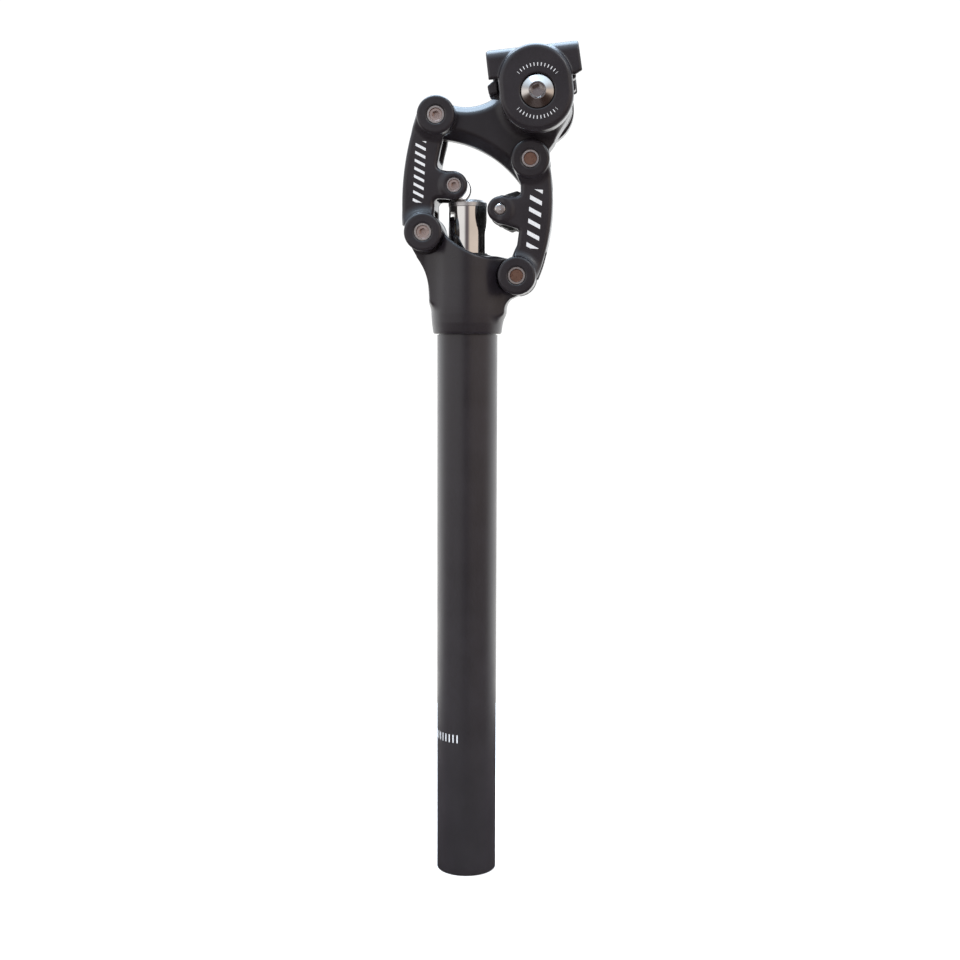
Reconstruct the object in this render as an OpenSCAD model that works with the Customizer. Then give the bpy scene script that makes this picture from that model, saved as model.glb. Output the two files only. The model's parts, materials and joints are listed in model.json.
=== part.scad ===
// Parallelogram suspension seatpost: a post tube with a forged lower head, two forked links, an upper
// head with a two-rail saddle clamp, and a sprung piston that a roller on the front link presses down.
// +Z runs up the tube, +X points to the rear, the origin is the tube's bottom end on its axis. mm.

/* [Post] */
// outside diameter of the tube, the size of the frame's seat tube it fits
tube_d = 27.2; // [25:0.1:34.9]
// wall thickness of the tube
tube_wall = 2.0; // [1.5:0.1:4]
// height of the tube's top end, inside the lower head
tube_top = 268; // [200:1:350]
// height of the lower head's bottom rim
collar_z = 248.1; // [180:0.1:330]
// greatest radius of the lower head's collar
collar_r = 16.4; // [15:0.1:22]

/* [Linkage] */
// front lower pivot, distance behind the tube axis
ll_x = -18.68; // [-40:0.01:0]
// front lower pivot, height
ll_z = 292.63; // [200:0.01:400]
// rear lower pivot, distance behind the tube axis
lr_x = 22.64; // [0:0.01:45]
// rear lower pivot, height
lr_z = 273.64; // [200:0.01:400]
// distance between a link's two main pivots
link_len = 50.76; // [35:0.01:80]
// rearward lean of both links at rest, degrees
link_lean = 6.48; // [0:0.01:30]
// roller axle in the front link's arm, behind the lower pivot
roller_dx = 13.56; // [5:0.01:25]
// roller axle in the front link's arm, above the lower pivot
roller_dz = 20.43; // [10:0.01:35]
// bumper pin in the rear link's arm, behind the lower pivot
bumper_dx = -7.37; // [-20:0.01:0]
// bumper pin in the rear link's arm, above the lower pivot
bumper_dz = 28.93; // [15:0.01:40]
// radius of the links' main bosses
boss_r = 8.4; // [6:0.1:12]
// half the width across the outer faces of the link bosses
fork_out = 16.0; // [12:0.1:24]
// half the gap between a link's two plates
fork_in = 9.0; // [6:0.1:14]
// half the width across the outer faces of the link bars between the bosses
bar_face = 13.3; // [11:0.1:20]

/* [Pivots] */
// radius of the main pivot axles
axle_r = 4.0; // [2.5:0.1:6]
// radius of the roller axle
roller_axle_r = 3.4; // [2:0.1:5]
// radius of the bumper pin
bumper_pin_r = 2.6; // [1.5:0.1:4]
// radial running clearance of a shaft in its bush
run_gap = 0.04; // [0.01:0.01:0.1]
// half the width of the lugs that stand between the link plates
lug_half = 8.2; // [5:0.1:12]
// outside radius of the roller
roller_r = 5.6; // [4:0.1:8]
// radius of the bottom-out bumper's nose
bumper_r = 5.4; // [3:0.1:7]

/* [Piston and spring] */
// radius of the piston
piston_r = 8.5; // [6:0.1:11]
// height of the piston cap's top at rest
cap_top = 307.4; // [250:0.1:350]
// height of the piston foot's underside at rest
foot_z = 190; // [120:1:240]
// height of the coil spring's lower end
seat_z = 40; // [20:1:100]
// wire radius of the coil spring
wire_r = 1.8; // [1:0.1:2.5]
// number of turns of the coil spring
spring_turns = 15; // [6:1:24]

/* [Saddle clamp] */
// height of the clamp bolt's axis above the tube's bottom end
bolt_z = 350.7; // [250:0.1:450]
// clamp bolt's axis, distance behind the tube axis
bolt_x = 31.6; // [0:0.1:60]
// upward tilt of the rails to the rear at rest, degrees
clamp_tilt = 5.9; // [-20:0.1:20]
// radius of a saddle rail
rail_r = 3.5; // [3:0.1:5]
// distance from the middle plane to a rail's axis
rail_y = 22; // [20:0.5:26]
// height of the rails' axes above the bolt's axis, square to the rails
rail_h = 12.2; // [8:0.1:20]
// radius of the round outer jaws
jaw_r = 15.8; // [12:0.1:22]
// half the length of the outer jaws' rail bars
bar_half = 20; // [15:0.5:30]
// how far the far jaw's rail bar reaches behind the bolt
far_rear = 17.6; // [16.5:0.1:19]
// half the width across the outer jaws
jaw_out = 29.2; // [25:0.1:36]

/* [Hidden] */

tube_r = tube_d / 2;
tube_in = tube_r - tube_wall;
neck_r = tube_r - 0.6;
LL = [ll_x, ll_z];
LR = [lr_x, lr_z];
link_up = link_len * [sin(link_lean), cos(link_lean)];
UL = LL + link_up;
UR = LR + link_up;
ML = LL + [roller_dx, roller_dz];
MR = LR + [bumper_dx, bumper_dz];
BOLT = [bolt_x, bolt_z];

body_r = 16.3;
bush_wall = 1.0;
flange_t = fork_in - lug_half - 0.05;
eye_half = 12.4;
eye_r = 14.4;
jaw_split = 19;
inner_face = 12.5;

// sweeps that shape the heads and links: centre and radius of each arc
ARCH = [[-15.58, 285.54], 48.5];
RIDGE = [[-0.44, 315.64], 21.4];
HEAD_TOP = [[-0.46, 369.86], 21.96];
LIP = [[15.84, 316.91], 35.5];
FRONT_NECK = [[-47.61, 263.19], 31.6];
REAR_NECK = [[22.2, 258.6], 5.4];
FRONT_BACK = [[91.02, 304.53], 119.2];
REAR_BACK = [[-48.32, 306.05], 86.4];

// --- drawing helpers -----------------------------------------------------------------------------

// points of an arc about c, from angle a to angle b
function arc(c, r, a, b, n = 10) = [
    for (k = [0:n])
        let (t = a + (b - a) * k / n)
        c + r * [cos(t), sin(t)]
];

function unit(v) = v / norm(v);

// corner at p, rounded to radius r, coming from a and leaving for b
function corner(p, a, b, r, n = 5) =
    r == 0 ? [p] :
    let (u = unit(a - p), w = unit(b - p))
    let (half = acos(u * w) / 2)
    let (c = p + unit(u + w) * r / sin(half))
    let (s = p + u * r / tan(half) - c)
    let (e = p + w * r / tan(half) - c)
    let (a1 = atan2(s.y, s.x))
    let (turn = (atan2(e.y, e.x) - a1 + 540) % 360 - 180)
    arc(c, r, a1, a1 + turn, n);

// outline through corners [x, y, radius]
function rounded(q) = [
    for (i = [0:len(q) - 1])
        let (a = q[(i + len(q) - 1) % len(q)], p = q[i], b = q[(i + 1) % len(q)])
        each corner([p.x, p.y], [a.x, a.y], [b.x, b.y], p.z)
];

// outline in the XZ plane, thickened from y0 to y1
module slab(y0, y1) translate([0, y1, 0]) rotate([90, 0, 0]) linear_extrude(y1 - y0) children();

// the same thing on both sides of the middle plane
module sides() {
    children();
    mirror([0, 1, 0]) children();
}

// cylinder across the post, from y0 to y1
module across(c, r, y0, y1)
    translate([c.x, y1, c.y]) rotate([90, 0, 0]) cylinder(h = y1 - y0, r = r, $fn = 96);

// turned shape about an axis across the post; the outline is [radius, y]
module turned_across(c, outline)
    translate([c.x, 0, c.y]) rotate([-90, 0, 0]) rotate_extrude($fn = 96) polygon(outline);

// turned shape about the tube's axis; the outline is [radius, z]
module turned(outline) rotate_extrude($fn = 128) polygon(outline);

// round boss from y0 out to y1, with a bevelled outer edge
module boss(c, r, y0, y1, e = 1)
    turned_across(c, [[0, y0], [r, y0], [r, y1 - e], [r - 0.3 * e, y1 - 0.3 * e], [r - e, y1], [0, y1]]);

// circle in the XZ plane
module disc(c, r) translate(c) circle(r = r, $fn = 96);

// the clamp's frame: origin on the bolt's axis, X along the rails
module clamp_frame() translate([BOLT.x, 0, BOLT.y]) rotate([0, -clamp_tilt, 0]) children();

// hexagonal socket sunk from y to y - depth, af across its flats
module hex_socket(c, af, y, depth)
    translate([c.x, y + 0.01, c.y]) rotate([90, 0, 0]) rotate([0, 0, 15])
        cylinder(h = depth + 0.01, r = af / sqrt(3), $fn = 6);

// --- post and lower head -------------------------------------------------------------------------

module post_tube() color("#1d1d1f") difference() {
    turned([
        [tube_in, 0.6], [tube_in + 0.6, 0], [tube_r - 0.5, 0], [tube_r, 0.5],
        [tube_r, collar_z - 0.4], [neck_r, collar_z - 0.4],
        [neck_r, tube_top - 0.5], [neck_r - 0.5, tube_top], [tube_in, tube_top]
    ]);
    // thread for the preload plug
    for (k = [0:19]) translate([0, 0, 3 + 1.5 * k]) turned([
        [tube_in - 0.2, -0.55], [tube_in, -0.55], [tube_in + 0.5, 0], [tube_in, 0.55], [tube_in - 0.2, 0.55]
    ]);
}

// outline of the lower head seen from the side, without its round body
module lower_head_side() difference() {
    polygon([
        [-16, 262], [-30, 262], [-30, 275], [-22.7, 282.6], LL + [-8, -1.4], LL + [0, 8], LL + [9, 0],
        [-8, 284],
        [12, 282], LR + [0, 8], LR + [7, 0], LR + [0.6, -8.1], [19.6, 263.3], [21, 259], [14, 256]
    ]);
    disc(FRONT_NECK[0], FRONT_NECK[1]);
    disc(REAR_NECK[0], REAR_NECK[1]);
}

module lower_head() color("#202022") difference() {
    union() {
        difference() {
            turned([
                [0, collar_z], [collar_r - 1.4, collar_z], [collar_r - 0.7, collar_z + 0.7],
                [collar_r - 0.3, collar_z + 5], [collar_r, collar_z + 12], [collar_r, collar_z + 20],
                [body_r, collar_z + 26], [body_r, 292.4], [0, 292.4]
            ]);
            // room for the link bosses and the forks
            sides() across(LL, boss_r + 0.8, lug_half, 20);
            sides() across(LR, boss_r + 0.6, lug_half, 20);
            // cup around the piston
            translate([0, 0, 281]) cylinder(h = 20, r = 13.4, $fn = 128);
        }
        // front and rear lugs
        difference() {
            slab(-lug_half, lug_half) {
                lower_head_side();
                disc(LL, boss_r - 0.2);
                disc(LR, boss_r - 0.2);
            }
            translate([0, 0, 281]) cylinder(h = 30, r = 10.3, $fn = 128);
            translate([0, 0, 281]) cylinder(h = 2.4, r = 11.6, $fn = 128);
        }
    }
    // sloping lip
    difference() {
        across(LIP[0], LIP[1], -30, 30);
        slab(-lug_half, lug_half) {
            disc(LL, boss_r - 0.2);
            polygon([LL + [-10, -4], LL, LL + [8.4, -1.5], [-12, 281]]);
        }
        translate([-60, -30, 200]) cube([40, 60, 200]);
    }
    // socket for the tube, seat for the guide bush, mouth
    translate([0, 0, collar_z - 1]) cylinder(h = tube_top - collar_z + 1, r = neck_r, $fn = 128);
    cylinder(h = 300, r = 10.2, $fn = 128);
    // pivot bores
    across(LL, axle_r + bush_wall, -20, 20);
    across(LR, axle_r + bush_wall, -20, 20);
}

module guide_bush() color("#b08d57") turned([
    [piston_r + run_gap, tube_top + 0.5], [10.2, tube_top + 0.5], [10.2, 279.5], [piston_r + run_gap, 279.5]
]);

module wiper_seal() color("#151515") turned([
    [piston_r + 0.2, 279.6], [10.1, 279.6], [10.1, 281], [11.3, 281], [11.3, 282.2],
    [10.2, 283.2], [piston_r + 0.9, 283.2], [piston_r + 0.2, 284]
]);

module top_out_ring() color("#2b2b2b") turned([
    [piston_r + 0.4, 196.2], [tube_in - 0.6, 196.2], [tube_in - 0.3, 197], [tube_in - 0.3, 201],
    [piston_r + 0.4, 201]
]);

// one flanged bush, its flange outwards
module flanged_bush(c) turned_across(c, [
    [axle_r + run_gap, 1], [axle_r + bush_wall, 1], [axle_r + bush_wall, lug_half],
    [axle_r + bush_wall + 1.9, lug_half], [axle_r + bush_wall + 1.9, lug_half + flange_t],
    [axle_r + run_gap, lug_half + flange_t]
]);

module lower_pivot_bushes() color("#a87c3c") for (c = [LL, LR]) sides() flanged_bush(c);

module upper_pivot_bushes() color("#a87c3c") for (c = [UL, UR]) sides() flanged_bush(c);

// --- piston, spring and preload ------------------------------------------------------------------

module piston_tube() color("#d8d8da") turned([
    [piston_r - 2, foot_z + 6], [piston_r, foot_z + 6], [piston_r, cap_top - 3], [piston_r - 2, cap_top - 3]
]);

module piston_cap() color("#8b8b8f") turned([
    [0, cap_top - 9], [piston_r - 2, cap_top - 9], [piston_r - 2, cap_top - 3], [piston_r, cap_top - 3],
    [piston_r + 0.1, cap_top - 2.8], [piston_r + 0.1, cap_top - 1.1], [piston_r - 1.1, cap_top],
    [0, cap_top]
]);

module piston_foot() color("#3a3a3c") turned([
    [0, foot_z - 8], [4.6, foot_z - 8], [5.6, foot_z - 7], [5.6, foot_z], [tube_in - 0.7, foot_z],
    [tube_in - 0.3, foot_z + 0.5], [tube_in - 0.3, foot_z + 5.5], [tube_in - 0.7, foot_z + 6],
    [piston_r - 2, foot_z + 6], [piston_r - 2, foot_z + 14], [0, foot_z + 14]
]);

// coil spring as a tube swept along a helix whose end turns lie flat
module coil_spring() color("#5a5a60") {
    n = 22;
    m = 8;
    coil_r = 8.9;
    free = foot_z - seat_z - 2 * wire_r;
    steps = n * spring_turns;
    dead = 0.75 * n;
    pitch_at = function (i) let (t = (i - dead) / (steps - 2 * dead)) min(max(t, 0), 1);
    closed = 0.9 * 2 * wire_r * dead / n;
    rise = function (i)
        seat_z + wire_r + 0.02 + min(i, dead) / dead * closed + pitch_at(i) * (free - 2 * closed - 0.04)
        + max(0, i - steps + dead) / dead * closed;
    pts = [
        for (i = [0:steps], k = [0:m - 1])
            let (a = 360 * i / n, b = 360 * k / m, rr = coil_r + wire_r * cos(b))
            [rr * cos(a), rr * sin(a), rise(i) + wire_r * sin(b)]
    ];
    walls = [
        for (i = [0:steps - 1], k = [0:m - 1])
            let (a = i * m + k, b = i * m + (k + 1) % m)
            each [[a, b, b + m], [a, b + m, a + m]]
    ];
    ends = [[for (k = [0:m - 1]) m - 1 - k], [for (k = [0:m - 1]) steps * m + k]];
    polyhedron(points = pts, faces = [for (f = concat(walls, ends)) [for (j = [len(f) - 1:-1:0]) f[j]]]);
}

module spring_seat() color("#6a6a6e") turned([
    [0, seat_z - 8], [tube_in - 0.3, seat_z - 8], [tube_in - 0.3, seat_z], [6.2, seat_z],
    [6.2, seat_z + 8], [5.4, seat_z + 9], [0, seat_z + 9]
]);

module elastomer_core() color("#3d4a3d") turned([
    [0, seat_z + 9], [5.6, seat_z + 9], [5.8, seat_z + 10], [5.8, 148], [4.8, 150], [0, 150]
]);

module preload_plug() color("#2a2a2c") difference() {
    turned([
        [0, 8], [tube_in - 1, 8], [tube_in - 0.1, 8.9], [tube_in - 0.1, 24.1],
        [tube_in - 1, 25], [5, 25], [4, seat_z - 8], [0, seat_z - 8]
    ]);
    // hexagonal socket for the adjusting key
    translate([0, 0, 7]) cylinder(h = 11, r = 8 / sqrt(3), $fn = 6);
    translate([0, 0, 7.9]) cylinder(h = 1, r1 = 6.2, r2 = 5.2, $fn = 64);
}

// --- front link ----------------------------------------------------------------------------------

// side outline of the front link's bar and arm
module front_bar() polygon(concat(
    arc(FRONT_BACK[0], FRONT_BACK[1], 160.9, 184.2, 14),
    rounded([
        [LL.x + 2, LL.y - 4, 0], [-14.1, 298, 0], [-14.0, 307.4, 2.2], [-6, 307.1, 0],
        [ML.x, ML.y, 0], [-4.6, 318.6, 0], [-12.9, 320.2, 2.4], [-10.2, 333, 0], [UL.x + 4, UL.y - 2, 0]
    ])
));

module front_link() color("#242426") difference() {
    union() {
        sides() {
            slab(fork_in, bar_face) {
                front_bar();
                disc(ML, 5.9);
            }
            boss(UL, boss_r, fork_in, fork_out);
            boss(LL, boss_r, fork_in, fork_out);
            boss(ML, 5.9, fork_in, bar_face + 0.7, 0.8);
            // ledge above the lower boss
            slab(bar_face - 1, fork_out - 0.8) difference() {
                polygon([[-27.4, 297], [-26.4, 302], [-16.5, 302.6], [-14.5, 298], LL, [-27, 290]]);
                disc(LL, boss_r - 0.5);
            }
        }
        // web that joins the plates along the back of the bar
        slab(-fork_in - 1, fork_in + 1) intersection() {
            front_bar();
            polygon([
                [-40, 302.7], [-12, 302.7], [-12, 306], [-15.4, 309], [-15.6, 317.5], [-12, 319.6],
                [-5, 319.6], [-5, 323.8], [-12.6, 323.8], [-13.4, 326.5], [-19, 333], [-40, 333]
            ]);
        }
    }
    for (c = [UL, LL]) across(c, axle_r, -20, 20);
    across(ML, roller_axle_r, -20, 20);
}

// hollow pivot axle, flush with the link bosses
module pivot_axle(c, r, half, wall, cup) {
    turned_across(c, [
        [0, -half + cup], [r - wall, -half + cup], [r - wall, -half], [r - 0.3, -half], [r, -half + 0.4],
        [r, half - 0.4], [r - 0.3, half], [r - wall, half], [r - wall, half - cup], [0, half - cup]
    ]);
}

module front_lower_axle() color("#c9c9cc") pivot_axle(LL, axle_r, fork_out - 0.1, 1.1, 5.5);

module front_upper_axle() color("#c9c9cc") pivot_axle(UL, axle_r, fork_out - 0.1, 1.1, 5.5);

module roller_axle() color("#c9c9cc") pivot_axle(ML, roller_axle_r, bar_face + 0.6, 0.9, 4);

// screw sunk in one end of an axle
module axle_screw(c, r, y1, length, af) difference() {
    turned_across(c, [[0, y1 - length], [r, y1 - length], [r, y1 - 0.3], [r - 0.3, y1], [0, y1]]);
    if (af > 0) hex_socket(c, af, y1, 2.6);
}

module front_axle_screws() color("#8a6a52") sides() {
    for (c = [LL, UL]) axle_screw(c, axle_r - 1.1, fork_out - 0.8, 4.8, 3);
    axle_screw(ML, roller_axle_r - 0.9, bar_face, 3.3, 2.5);
}

module roller() color("#b9b9bd") turned_across(ML, [
    [4.3, -8.5], [roller_r - 0.6, -8.5], [roller_r, -7.9], [roller_r, 7.9], [roller_r - 0.6, 8.5],
    [4.3, 8.5]
]);

module roller_bush() color("#a87c3c") turned_across(ML, [
    [roller_axle_r + run_gap, -8.7], [4.3, -8.7], [4.3, 8.7], [roller_axle_r + run_gap, 8.7]
]);

// --- rear link -----------------------------------------------------------------------------------

// side outline of the rear link's bar and arm
module rear_bar() polygon(concat(
    arc(REAR_BACK[0], REAR_BACK[1], -22.5, 10.8, 14),
    rounded([
        [UR.x + 6, UR.y + 5, 0], [UR.x - 7, UR.y - 2, 0], [21.6, 319, 0], [24.2, 313.4, 0],
        [24, 308.2, 1.8], [MR.x + 0.5, MR.y + 5.8, 0], [MR.x, MR.y, 0], [MR.x - 1, MR.y - 5.8, 0],
        [23.5, 293.9, 1.6], [22.6, 287, 0], [20.2, 281, 0], [LR.x - 5, LR.y - 3, 0]
    ])
));

module rear_link() color("#242426") difference() {
    union() {
        sides() {
            slab(fork_in, bar_face) {
                rear_bar();
                disc(MR, 5.8);
            }
            boss(UR, boss_r, fork_in, fork_out);
            boss(LR, boss_r, fork_in, fork_out);
            // ledge above the lower boss
            slab(bar_face - 1, fork_out - 0.8) difference() {
                polygon([[21.4, 281], [22.6, 286], [31.6, 285.6], [35, 281.8], [31, 274], LR]);
                disc(LR, boss_r - 0.5);
            }
            // ledge below the upper boss
            slab(bar_face - 1, fork_out - 0.8) difference() {
                polygon([[28, 313], [33.5, 314.2], [37.4, 315.2], [36.7, 323], UR]);
                disc(UR, boss_r - 0.5);
            }
        }
        // web that joins the plates along the back of the bar
        slab(-fork_in - 1, fork_in + 1) intersection() {
            rear_bar();
            polygon([[60, 284.5], [32.4, 285], [31, 296], [31.6, 308], [34, 312], [60, 312]]);
        }
    }
    for (c = [UR, LR]) across(c, axle_r, -20, 20);
    across(MR, bumper_pin_r, -20, 20);
}

module rear_lower_axle() color("#c9c9cc") pivot_axle(LR, axle_r, fork_out - 0.1, 1.1, 5.5);

module rear_upper_axle() color("#c9c9cc") pivot_axle(UR, axle_r, fork_out - 0.1, 1.1, 5.5);

module rear_axle_screws() color("#8a6a52") sides()
    for (c = [LR, UR]) axle_screw(c, axle_r - 1.1, fork_out - 0.8, 4.8, 0);

module bumper_pin() color("#c9c9cc") turned_across(MR, [
    [0, -bar_face - 0.5], [bumper_pin_r - 0.7, -bar_face - 0.4], [bumper_pin_r, -bar_face + 0.2],
    [bumper_pin_r, bar_face - 0.2], [bumper_pin_r - 0.7, bar_face + 0.4], [0, bar_face + 0.5]
]);

// rubber block around the pin, wider towards the bar
module bottom_out_bumper() color("#17171a") difference() {
    slab(-8.6, 8.6) union() {
        disc(MR, bumper_r);
        polygon([
            MR + [-3.6, 4], MR + [-0.9, 5.6], MR + [3.1, 7.2], MR + [7.1, 8.4], MR + [8.6, 7.8],
            MR + [10.4, 5], MR + [10.4, -4], MR + [8, -7.6], MR + [4.4, -9], MR + [1, -7.4],
            MR + [-3.6, -4]
        ]);
    }
    across(MR, bumper_pin_r, -20, 20);
}

// --- upper head ----------------------------------------------------------------------------------

module upper_head() color("#202022") difference() {
    union() {
        // arm from the front lug to the rear lug and the clamp eye
        slab(-lug_half, lug_half) {
            disc(UL, boss_r - 0.2);
            disc(UR, boss_r - 0.2);
            disc(BOLT, eye_r);
            difference() {
                polygon([
                    UL + [-1, 8], [6, 351], BOLT + [-9, 11], BOLT + [4, 3], BOLT + [12, -4],
                    [38.6, 332], [36.4, 329], UR + [8, 0], UR + [2, -8], [24.4, 312.6], [19.5, 313],
                    [-12, 325], UL + [-6, -6]
                ]);
                disc([47, 322], 10.4);
            }
        }
        // clamp eye, flared down into the arm
        intersection() {
            sides() turned_across(BOLT, [
                [0, 0], [eye_r + 5, 0], [eye_r + 4.2, lug_half], [eye_r, eye_half - 0.6],
                [eye_r - 0.6, eye_half], [0, eye_half]
            ]);
            slab(-20, 20) {
                disc(BOLT, eye_r);
                polygon([
                    BOLT, BOLT + [-12, 10], BOLT + [-30, 2], BOLT + [-16, -16], BOLT + [-9, -18],
                    BOLT + [2, -20]
                ]);
            }
        }
    }
    // arch over the piston, with bevelled edges
    intersection() {
        across(ARCH[0], ARCH[1], -30, 30);
        slab(-30, 30) polygon([[-10.3, 330], [-8, 340], [40, 340], [24.6, 313], [24.6, 290], [-10.3, 290]]);
    }
    sides() intersection() {
        turned_across(RIDGE[0], [
            [0, 3.4], [RIDGE[1] - 5, 3.4], [RIDGE[1], lug_half], [RIDGE[1], 20], [0, 20]
        ]);
        slab(0, 20) polygon([[-5, 345], [17, 345], [20.5, 324], [16, 318], [-5, 318]]);
    }
    // hollow along the top edge, with bevelled edges
    across(HEAD_TOP[0], HEAD_TOP[1], -30, 30);
    sides() turned_across(HEAD_TOP[0], [
        [0, 4], [HEAD_TOP[1], 4], [HEAD_TOP[1] + 3, lug_half], [HEAD_TOP[1] + 3, lug_half + 0.5],
        [0, lug_half + 0.5]
    ]);
    // room for the link forks
    sides() for (c = [UL, UR]) across(c, boss_r + 0.6, lug_half, 14);
    // bores
    across(UL, axle_r + bush_wall, -20, 20);
    across(UR, axle_r + bush_wall, -20, 20);
    across(BOLT, 4.1, -20, 20);
}

// --- saddle clamp --------------------------------------------------------------------------------

// rail along the clamp's X axis, as a cutter
module rail_hole(r, half)
    translate([-half, rail_y, rail_h]) rotate([0, 90, 0]) cylinder(h = 2 * half, r = r, $fn = 64);

// inner jaw on the +Y side, in the clamp's frame
module inner_jaw() difference() {
    union() {
        boss([0, 0], 15, inner_face, jaw_split - 0.15, 0.6);
        translate([-18.5, inner_face, 5]) cube([35.5, jaw_split - 0.15 - inner_face, 10.5]);
        // ear that carries the rail from below, in front of the round jaw
        slab(inner_face, rail_y + 2.4)
            polygon([[-17, 1.9], [-17, 6.7], [-18.8, 6.7], [-21.2, 5], [-20.8, 1.1]]);
        slab(inner_face, jaw_split - 0.15)
            polygon([[-10, 6.7], [-18.8, 6.7], [-21.2, 5], [-20.8, 1.1], [-10, -1]]);
    }
    rail_hole(rail_r, 30);
    across([0, 0], 4.1, 0, 40);
}

// round puck with a bevelled outer edge, centred h above the bolt's axis
module puck(h) turned_across([-0.5, h], [
    [0, jaw_split + 0.15], [jaw_r, jaw_split + 0.15], [jaw_r, jaw_out - 3], [jaw_r - 0.9, jaw_out - 0.9],
    [jaw_r - 3, jaw_out], [0, jaw_out]
]);

// outer jaw on the +Y side, in the clamp's frame
module outer_jaw() difference() {
    union() {
        puck(-0.9);
        puck(4.3);
        // bar over the rail
        intersection() {
            translate([-bar_half, 0, 0]) rotate([90, 0, 90]) linear_extrude(2 * bar_half) polygon(rounded([
                [17.4, 16.2, 0], [17.4, rail_h + 7.7, 1.5], [27.1, rail_h + 7.7, 4.6],
                [27.1, 5, 0], [24.9, 5, 0], [24.9, 16.2, 0]
            ]));
            slab(0, 40) polygon([
                [-bar_half - 0.3, 7.2], [-bar_half - 0.5, 18.9], [-bar_half + 1, 21.4],
                [bar_half - 2, 21.4], [bar_half - 0.9, 20], [bar_half - 0.3, 6.9],
                [bar_half - 3.8, 5.2], [bar_half - 6, 7.2]
            ]);
        }
    }
    // seat for the rail, open towards the middle below its top
    rail_hole(rail_r, 30);
    translate([-30, jaw_split - 2, rail_h - rail_r - 0.15])
        cube([60, rail_y - jaw_split + 1.7, 2 * rail_r + 0.3]);
    // bolt hole and its sunk seat
    across([0, 0], 4.1, 0, 40);
    turned_across([0, 0], [
        [0, jaw_out - 2.2], [7.3, jaw_out - 2.2], [7.3, jaw_out - 0.4], [7.9, jaw_out + 1], [0, jaw_out + 1]
    ]);
}

module inner_jaw_far() color("#222224") clamp_frame() inner_jaw();

module inner_jaw_near() color("#222224") clamp_frame() mirror([0, 1, 0]) inner_jaw();

// the far jaw is shorter at the rear, and has a hexagonal seat that keeps the nut from turning
module outer_jaw_far() color("#242426") clamp_frame() difference() {
    outer_jaw();
    hex_socket([0, 0], 11.2, jaw_out - 2, 5.2);
    translate([far_rear, 0, 0]) cube([10, 40, 40]);
}

module outer_jaw_near() color("#242426") clamp_frame() mirror([0, 1, 0]) outer_jaw();

module clamp_nut() color("#cfcfd2") clamp_frame() difference() {
    union() {
        hex_socket([0, 0], 11, jaw_out - 2.2, 4.9);
        turned_across([0, 0], [
            [0, jaw_out - 2.2], [7, jaw_out - 2.2], [7, jaw_out - 0.5], [4, jaw_out + 1.7],
            [0, jaw_out + 1.7]
        ]);
    }
    across([0, 0], 4.0 + run_gap, 0, 40);
}

module clamp_bolt() color("#d4d4d6") clamp_frame() mirror([0, 1, 0]) difference() {
    turned_across([0, 0], [
        [0, -jaw_out - 1], [3.6, -jaw_out - 1], [4, -jaw_out - 0.6], [4, jaw_out - 2.2], [7, jaw_out - 2.2],
        [7, jaw_out - 0.5], [3.7, jaw_out + 1.7], [3.3, jaw_out + 1.7], [2.9, jaw_out + 1.3],
        [0, jaw_out + 1.3]
    ]);
    hex_socket([0, 0], 5, jaw_out + 1.3, 5);
}

// --- assembly ------------------------------------------------------------------------------------

post_tube();
lower_head();
guide_bush();
wiper_seal();
top_out_ring();
lower_pivot_bushes();
coil_spring();
piston_tube();
piston_cap();
piston_foot();
front_link();
front_lower_axle();
front_upper_axle();
roller_axle();
front_axle_screws();
roller();
roller_bush();
rear_link();
rear_lower_axle();
rear_upper_axle();
rear_axle_screws();
bumper_pin();
bottom_out_bumper();
upper_head();
upper_pivot_bushes();
inner_jaw_near();
inner_jaw_far();
outer_jaw_near();
outer_jaw_far();
clamp_nut();
clamp_bolt();
spring_seat();
elastomer_core();
preload_plug();
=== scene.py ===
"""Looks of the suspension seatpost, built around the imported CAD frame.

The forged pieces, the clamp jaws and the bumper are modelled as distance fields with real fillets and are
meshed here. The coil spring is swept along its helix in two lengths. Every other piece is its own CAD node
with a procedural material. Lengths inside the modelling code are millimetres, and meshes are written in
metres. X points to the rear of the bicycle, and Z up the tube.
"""
import json
import math

import bpy
import numpy as np
from mathutils import Matrix, Vector


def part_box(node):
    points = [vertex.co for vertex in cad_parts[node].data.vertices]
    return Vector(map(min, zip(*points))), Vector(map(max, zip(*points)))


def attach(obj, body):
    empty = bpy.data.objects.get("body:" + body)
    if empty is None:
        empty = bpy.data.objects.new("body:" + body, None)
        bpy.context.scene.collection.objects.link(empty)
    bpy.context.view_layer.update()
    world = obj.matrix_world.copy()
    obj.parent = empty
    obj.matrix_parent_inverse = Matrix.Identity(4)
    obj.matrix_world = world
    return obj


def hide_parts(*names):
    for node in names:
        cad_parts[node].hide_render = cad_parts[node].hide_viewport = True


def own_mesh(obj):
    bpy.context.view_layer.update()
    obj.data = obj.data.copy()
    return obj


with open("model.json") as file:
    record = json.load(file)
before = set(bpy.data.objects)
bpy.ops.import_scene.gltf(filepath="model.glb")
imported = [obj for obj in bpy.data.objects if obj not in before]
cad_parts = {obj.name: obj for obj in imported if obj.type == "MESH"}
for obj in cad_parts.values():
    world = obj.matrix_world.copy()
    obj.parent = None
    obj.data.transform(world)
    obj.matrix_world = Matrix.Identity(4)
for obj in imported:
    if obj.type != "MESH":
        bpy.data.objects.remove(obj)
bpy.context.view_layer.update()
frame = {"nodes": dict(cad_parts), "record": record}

MM = 1000.0


# --- places and sizes read from the frame ---------------------------------------------------------

def corners(node):
    """Lowest and highest corner of a CAD node, in mm."""
    low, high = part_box(node)
    return np.array(low) * MM, np.array(high) * MM


def centre(node):
    """Middle of a CAD node seen from the side, as (x, z) in mm."""
    low, high = corners(node)
    return (low[[0, 2]] + high[[0, 2]]) / 2


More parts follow.
